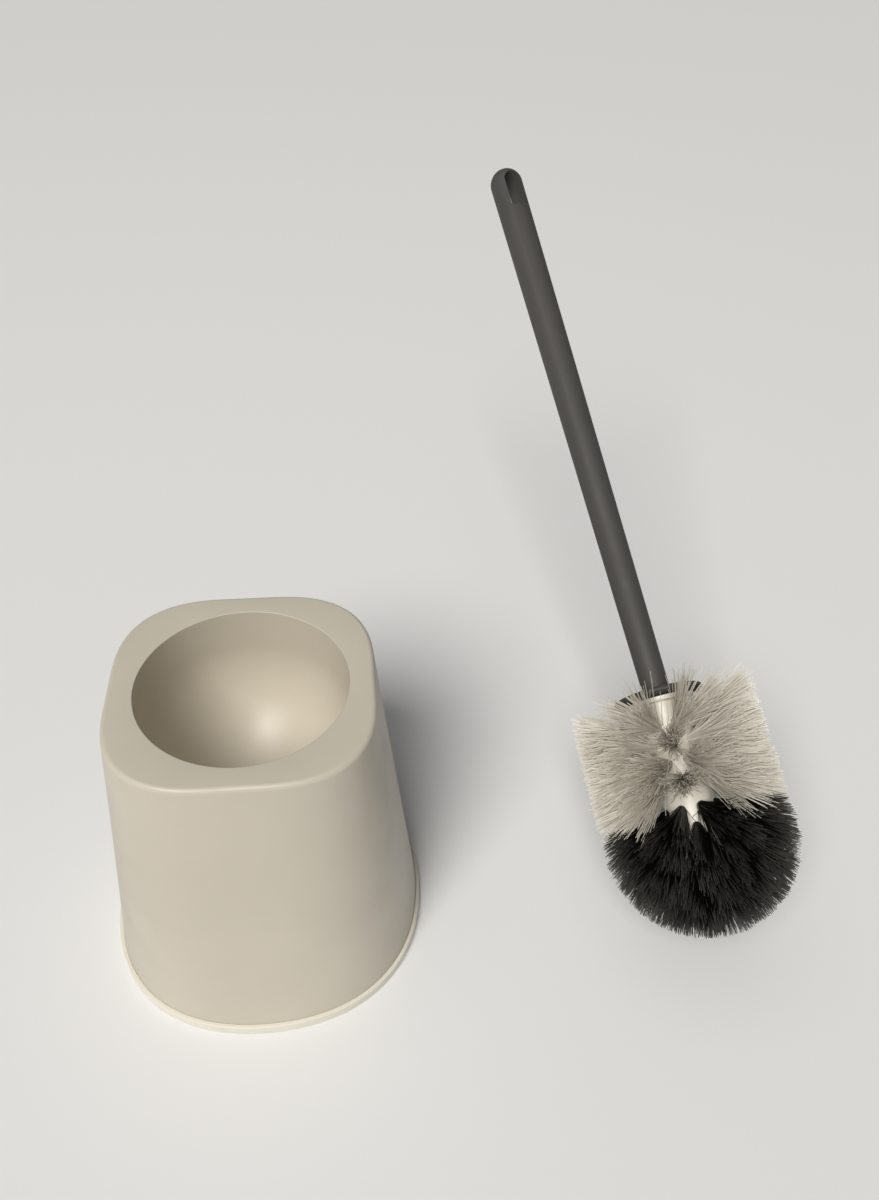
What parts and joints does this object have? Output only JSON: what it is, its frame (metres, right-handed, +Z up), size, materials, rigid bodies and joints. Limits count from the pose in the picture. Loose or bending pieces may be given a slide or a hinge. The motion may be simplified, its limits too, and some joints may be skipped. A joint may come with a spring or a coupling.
{
  "type": "toilet brush and holder",
  "caption": "Freestanding flared toilet brush holder with a rounded square rim, a round cup and a base tray, with its bristle brush held tilted beside it.",
  "frame": {"origin": "on the floor, under the middle of the holder's cup", "axes": "+Z up; X and Y run square to the flattened sides of the holder's rim; the brush stands on the +X side"},
  "size_m": [0.302, 0.3454, 0.2569],
  "materials": {
    "ivory_plastic": "satin matte moulded plastic",
    "grey_plastic": "satin moulded plastic",
    "white_plastic": "smooth moulded plastic",
    "pale_bristle": "fine filament",
    "dark_bristle": "fine filament"
  },
  "bodies": {
    "base": {"base_tray": "ivory_plastic"},
    "holder": {"holder_body": "ivory_plastic"},
    "head": {"head_core": "white_plastic", "pale_tuft_1_1": "pale_bristle", "pale_tuft_1_2": "pale_bristle", "pale_tuft_1_3": "pale_bristle", "pale_tuft_1_4": "pale_bristle", "pale_tuft_1_5": "pale_bristle", "pale_tuft_1_6": "pale_bristle", "pale_tuft_1_7": "pale_bristle", "pale_tuft_1_8": "pale_bristle", "pale_tuft_2_1": "pale_bristle", "pale_tuft_2_2": "pale_bristle", "pale_tuft_2_3": "pale_bristle", "pale_tuft_2_4": "pale_bristle", "pale_tuft_2_5": "pale_bristle", "pale_tuft_2_6": "pale_bristle", "pale_tuft_2_7": "pale_bristle", "pale_tuft_2_8": "pale_bristle", "pale_tuft_3_1": "pale_bristle", "pale_tuft_3_2": "pale_bristle", "pale_tuft_3_3": "pale_bristle", "pale_tuft_3_4": "pale_bristle", "pale_tuft_3_5": "pale_bristle", "pale_tuft_3_6": "pale_bristle", "pale_tuft_3_7": "pale_bristle", "pale_tuft_3_8": "pale_bristle", "pale_tuft_4_1": "pale_bristle", "pale_tuft_4_2": "pale_bristle", "pale_tuft_4_3": "pale_bristle", "pale_tuft_4_4": "pale_bristle", "pale_tuft_4_5": "pale_bristle", "pale_tuft_4_6": "pale_bristle", "pale_tuft_4_7": "pale_bristle", "pale_tuft_4_8": "pale_bristle", "dark_tuft_1_1": "dark_bristle", "dark_tuft_1_2": "dark_bristle", "dark_tuft_1_3": "dark_bristle", "dark_tuft_1_4": "dark_bristle", "dark_tuft_1_5": "dark_bristle", "dark_tuft_1_6": "dark_bristle", "dark_tuft_1_7": "dark_bristle", "dark_tuft_1_8": "dark_bristle", "dark_tuft_2_1": "dark_bristle", "dark_tuft_2_2": "dark_bristle", "dark_tuft_2_3": "dark_bristle", "dark_tuft_2_4": "dark_bristle", "dark_tuft_2_5": "dark_bristle", "dark_tuft_2_6": "dark_bristle", "dark_tuft_2_7": "dark_bristle", "dark_tuft_2_8": "dark_bristle", "end_tuft_1": "dark_bristle", "end_tuft_2": "dark_bristle", "end_tuft_3": "dark_bristle", "end_tuft_4": "dark_bristle", "end_tuft_5": "dark_bristle", "end_tuft_6": "dark_bristle", "tip_tuft": "dark_bristle"},
    "grip": {"handle": "grey_plastic", "splash_collar": "grey_plastic"}
  },
  "joints": [
    {"name": "body_lift", "type": "slide", "parent": "base", "child": "holder", "axis": [0, 0, 1], "range_m": [0, 0.04]},
    {"name": "brush_lift", "type": "slide", "parent": "base", "child": "head", "axis": [0, 0, 1], "range_m": [0, 0.2]},
    {"name": "handle_pull", "type": "slide", "parent": "head", "child": "grip", "axis": [-0.148, 0.8533, 0.5], "range_m": [0, 0.03]}
  ]
}
